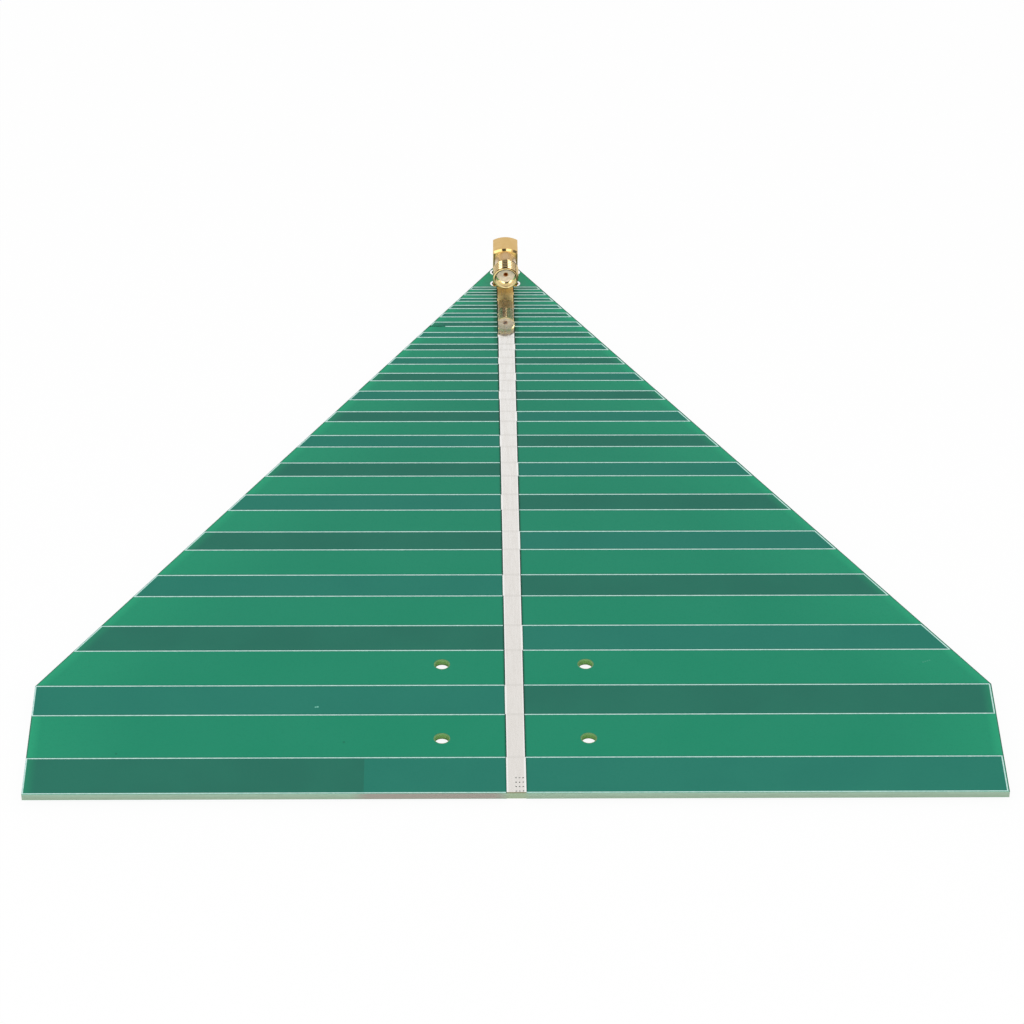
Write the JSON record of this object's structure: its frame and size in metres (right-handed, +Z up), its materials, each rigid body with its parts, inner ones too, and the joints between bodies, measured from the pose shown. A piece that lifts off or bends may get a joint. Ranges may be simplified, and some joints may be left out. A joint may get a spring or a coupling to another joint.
{
  "type": "log-periodic antenna",
  "caption": "Flat log-periodic board antenna: stepped bars on both faces along a bare feeder strip, a right-angle coaxial jack at the tip and plain mounting holes near the wide edge.",
  "frame": {"origin": "middle of the four mounting holes, on the underside of the finished board", "axes": "+X across the board, +Y from the wide edge towards the tip with the jack, +Z up out of the printed face"},
  "size_m": [0.21, 0.2, 0.0136],
  "materials": {
    "laminate": "satin",
    "tinned_copper": "polished",
    "green_coating": "gloss",
    "white_print": "matte",
    "gold_plate": "polished",
    "white_insulator": "satin",
    "solder": "gloss"
  },
  "bodies": {
    "root": {"laminate": "laminate", "top_copper": "tinned_copper", "bottom_copper": "tinned_copper", "hole_plating": "tinned_copper", "top_mask": "green_coating", "bottom_mask": "green_coating", "top_print": "white_print", "jack_body": "gold_plate", "jack_insulator": "white_insulator", "jack_contact": "gold_plate", "solder_joints": "solder"}
  },
  "joints": []
}
